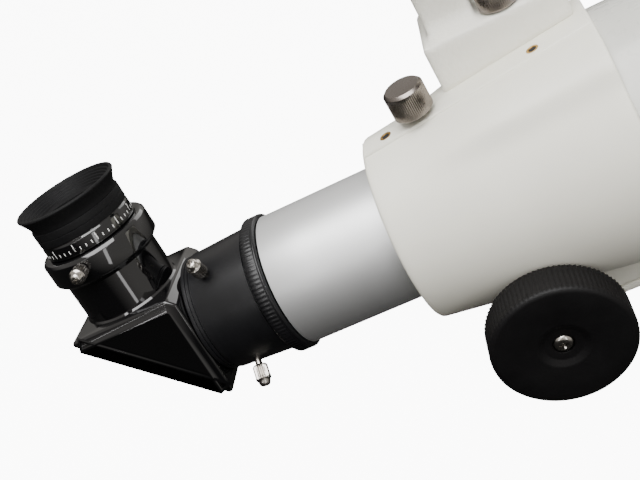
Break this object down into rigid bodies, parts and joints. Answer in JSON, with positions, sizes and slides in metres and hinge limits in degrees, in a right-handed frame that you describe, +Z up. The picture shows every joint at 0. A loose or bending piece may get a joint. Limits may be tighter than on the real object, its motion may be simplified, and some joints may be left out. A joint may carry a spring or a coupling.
{
  "type": "refracting telescope on tripod",
  "caption": "Small refracting telescope with star diagonal, eyepiece, finder and rack focuser, on a tilting and turning fork over a folding tripod.",
  "frame": {"origin": "on the ground, under the middle of the whole object's box", "axes": "+Z up, +X towards the objective end, +Y to the telescope's left as seen from behind the eyepiece"},
  "size_m": [0.7225, 0.5448, 1.0005],
  "materials": {
    "tube_paint": "semi-gloss white enamel on aluminium",
    "housing_paint": "satin off-white powder paint on die-cast alloy",
    "cast_paint": "off-white paint over rough casting",
    "drawtube_alloy": "satin anodised",
    "steel": "zinc-plated",
    "nickel": "satin nickel, knurled",
    "brass": "turned",
    "adapter_black": "satin black anodised alloy",
    "gloss_black": "glossy moulded",
    "barrel_chrome": "polished",
    "glass": "coated optical glass",
    "eyepiece_black": "black anodised",
    "rubber": "moulded, matt",
    "knob_black": "moulded, fine grain",
    "cell_black": "flat black",
    "mount_black": "textured black on die-cast alloy",
    "fitting_plastic": "moulded nylon",
    "leg_alloy": "brushed, anodised"
  },
  "bodies": {
    "tripod": {"tripod_hub": "mount_black", "hinge_bolts": "steel"},
    "leg_1": {"leg_rails_1": "leg_alloy", "leg_fittings_1": "fitting_plastic"},
    "leg_extension_1": {"leg_lower_1": "leg_alloy", "leg_foot_1": "rubber"},
    "leg_lock_1": {"leg_knob_1": "knob_black"},
    "brace_arm_1": {"brace_1": "steel"},
    "leg_2": {"leg_rails_2": "leg_alloy", "leg_fittings_2": "fitting_plastic"},
    "leg_extension_2": {"leg_lower_2": "leg_alloy", "leg_foot_2": "rubber"},
    "leg_lock_2": {"leg_knob_2": "knob_black"},
    "brace_arm_2": {"brace_2": "steel"},
    "leg_3": {"leg_rails_3": "leg_alloy", "leg_fittings_3": "fitting_plastic"},
    "leg_extension_3": {"leg_lower_3": "leg_alloy", "leg_foot_3": "rubber"},
    "leg_lock_3": {"leg_knob_3": "knob_black"},
    "brace_arm_3": {"brace_3": "steel"},
    "spreader": {"spreader_hub": "fitting_plastic"},
    "azimuth_clamp": {"azimuth_knob": "knob_black"},
    "fork": {"yoke": "mount_black"},
    "tube": {"main_tube": "tube_paint", "dew_shield": "tube_paint", "objective_cell": "cell_black", "objective_lenses": "glass", "focuser_housing": "housing_paint", "pinion_cover": "housing_paint", "tube_screws": "steel", "tension_screws": "brass", "finder_bracket": "cast_paint", "finder_nuts": "nickel", "finder_tube": "eyepiece_black", "finder_lenses": "glass", "finder_screws": "steel", "tube_saddle": "mount_black", "altitude_shaft": "steel"},
    "altitude_clamp_near": {"altitude_knob_near": "knob_black"},
    "altitude_clamp_far": {"altitude_knob_far": "knob_black"},
    "focus_lock": {"lock_screw": "nickel"},
    "draw": {"drawtube": "drawtube_alloy", "drawtube_rack": "steel", "adapter_body": "adapter_black", "adapter_ring": "adapter_black"},
    "adapter_clamp_upper": {"adapter_screw_upper": "nickel"},
    "adapter_clamp_lower": {"adapter_screw_lower": "nickel"},
    "pinion": {"pinion_shaft": "steel", "focus_knob_near": "knob_black", "focus_knob_far": "knob_black", "knob_screws": "nickel"},
    "diagonal": {"diagonal_housing": "gloss_black", "diagonal_prism": "glass", "diagonal_barrel": "barrel_chrome", "eyepiece_holder": "gloss_black"},
    "eyepiece_clamp": {"eyepiece_screw": "nickel"},
    "eyepiece": {"eyepiece_barrel": "barrel_chrome", "eyepiece_body": "eyepiece_black", "eyepiece_lenses": "glass", "eyecup": "rubber"}
  },
  "joints": [
    {"name": "leg_fold_1", "type": "hinge", "parent": "tripod", "child": "leg_1", "pos_m": [0.062, 0, 0.585], "axis": [0, 1, 0], "range_deg": [0, 20]},
    {"name": "leg_extend_1", "type": "slide", "parent": "leg_1", "child": "leg_extension_1", "axis": [0.4067, 0, -0.9135], "range_m": [0, 0.28]},
    {"name": "leg_lock_turn_1", "type": "hinge", "parent": "leg_1", "child": "leg_lock_1", "pos_m": [0.22101, 0, 0.2672], "axis": [0.9135, 0, 0.4067], "range_deg": [0, 360]},
    {"name": "brace_swing_1", "type": "hinge", "parent": "leg_1", "child": "brace_arm_1", "pos_m": [0.15496, 0, 0.34178], "axis": [0, 1, 0], "range_deg": [0, 41.31]},
    {"name": "leg_fold_2", "type": "hinge", "parent": "tripod", "child": "leg_2", "pos_m": [0.005, 0.03291, 0.585], "axis": [-0.866, -0.5, 0], "range_deg": [0, 20]},
    {"name": "leg_extend_2", "type": "slide", "parent": "leg_2", "child": "leg_extension_2", "axis": [-0.2034, 0.3522, -0.9135], "range_m": [0, 0.28]},
    {"name": "leg_lock_turn_2", "type": "hinge", "parent": "leg_2", "child": "leg_lock_2", "pos_m": [-0.0745, 0.17061, 0.2672], "axis": [-0.4568, 0.7912, 0.4067], "range_deg": [0, 360]},
    {"name": "brace_swing_2", "type": "hinge", "parent": "leg_2", "child": "brace_arm_2", "pos_m": [-0.04148, 0.11342, 0.34178], "axis": [-0.866, -0.5, 0], "range_deg": [0, 41.31]},
    {"name": "leg_fold_3", "type": "hinge", "parent": "tripod", "child": "leg_3", "pos_m": [0.005, -0.03291, 0.585], "axis": [0.866, -0.5, 0], "range_deg": [0, 20]},
    {"name": "leg_extend_3", "type": "slide", "parent": "leg_3", "child": "leg_extension_3", "axis": [-0.2034, -0.3522, -0.9135], "range_m": [0, 0.28]},
    {"name": "leg_lock_turn_3", "type": "hinge", "parent": "leg_3", "child": "leg_lock_3", "pos_m": [-0.0745, -0.17061, 0.2672], "axis": [-0.4568, -0.7912, 0.4067], "range_deg": [0, 360]},
    {"name": "brace_swing_3", "type": "hinge", "parent": "leg_3", "child": "brace_arm_3", "pos_m": [-0.04148, -0.11342, 0.34178], "axis": [0.866, -0.5, 0], "range_deg": [0, 41.31]},
    {"name": "spreader_lift", "type": "slide", "parent": "tripod", "child": "spreader", "axis": [0, 0, 1], "range_m": [0, 0.05681]},
    {"name": "azimuth_clamp_turn", "type": "hinge", "parent": "tripod", "child": "azimuth_clamp", "pos_m": [0.039, -0.02598, 0.603], "axis": [0.5, -0.866, 0], "range_deg": [0, 360]},
    {"name": "azimuth_turn", "type": "hinge", "parent": "tripod", "child": "fork", "pos_m": [0.024, 0, 0.62], "axis": [0, 0, 1], "continuous": true},
    {"name": "altitude_tilt", "type": "hinge", "parent": "fork", "child": "tube", "pos_m": [0.024, 0, 0.72], "axis": [0, -1, 0], "range_deg": [-38, 38]},
    {"name": "altitude_clamp_turn_near", "type": "hinge", "parent": "tube", "child": "altitude_clamp_near", "pos_m": [0.024, -0.038, 0.72], "axis": [0, -1, 0], "range_deg": [0, 360]},
    {"name": "altitude_clamp_turn_far", "type": "hinge", "parent": "tube", "child": "altitude_clamp_far", "pos_m": [0.024, 0.038, 0.72], "axis": [0, 1, 0], "range_deg": [0, 360]},
    {"name": "focus_lock_turn", "type": "hinge", "parent": "tube", "child": "focus_lock", "pos_m": [-0.2294, 0, 0.69667], "axis": [-0.4756, 0, 0.8796], "range_deg": [0, 360]},
    {"name": "focus_travel", "type": "slide", "parent": "tube", "child": "draw", "axis": [0.8796, 0, 0.4756], "range_m": [-0.058, 0.042]},
    {"name": "pinion_turn", "type": "hinge", "parent": "tube", "child": "pinion", "pos_m": [-0.18386, 0, 0.63978], "axis": [0, 1, 0], "range_deg": [-560, 410]},
    {"name": "adapter_clamp_turn_upper", "type": "hinge", "parent": "draw", "child": "adapter_clamp_upper", "pos_m": [-0.29731, -0.00847, 0.6383], "axis": [-0.441, -0.3746, 0.8156], "range_deg": [0, 360]},
    {"name": "adapter_clamp_turn_lower", "type": "hinge", "parent": "draw", "child": "adapter_clamp_lower", "pos_m": [-0.27956, -0.01731, 0.60756], "axis": [0.3057, -0.766, -0.5654], "range_deg": [0, 360]},
    {"name": "diagonal_turn", "type": "hinge", "parent": "draw", "child": "diagonal", "pos_m": [-0.31527, 0, 0.60476], "axis": [0.8796, 0, 0.4756], "continuous": true},
    {"name": "eyepiece_clamp_turn", "type": "hinge", "parent": "diagonal", "child": "eyepiece_clamp", "pos_m": [-0.33667, -0.015, 0.64433], "axis": [-0.076, -0.9871, 0.1406], "range_deg": [0, 360]},
    {"name": "eyepiece_lift", "type": "slide", "parent": "diagonal", "child": "eyepiece", "axis": [-0.4695, 0.1599, 0.8683], "range_m": [0, 0.04]}
  ],
  "couplings": [
    {"joint": "leg_fold_2", "follows": "leg_fold_1", "ratio": 1},
    {"joint": "leg_fold_3", "follows": "leg_fold_1", "ratio": 1},
    {"joint": "brace_swing_1", "follows": "leg_fold_1", "ratio": 2.0407},
    {"joint": "brace_swing_2", "follows": "leg_fold_1", "ratio": 2.0407},
    {"joint": "brace_swing_3", "follows": "leg_fold_1", "ratio": 2.0407},
    {"joint": "spreader_lift", "follows": "leg_fold_1", "m_per_rad": 0.16131},
    {"joint": "pinion_turn", "follows": "focus_travel", "rad_per_m": 166.67}
  ]
}
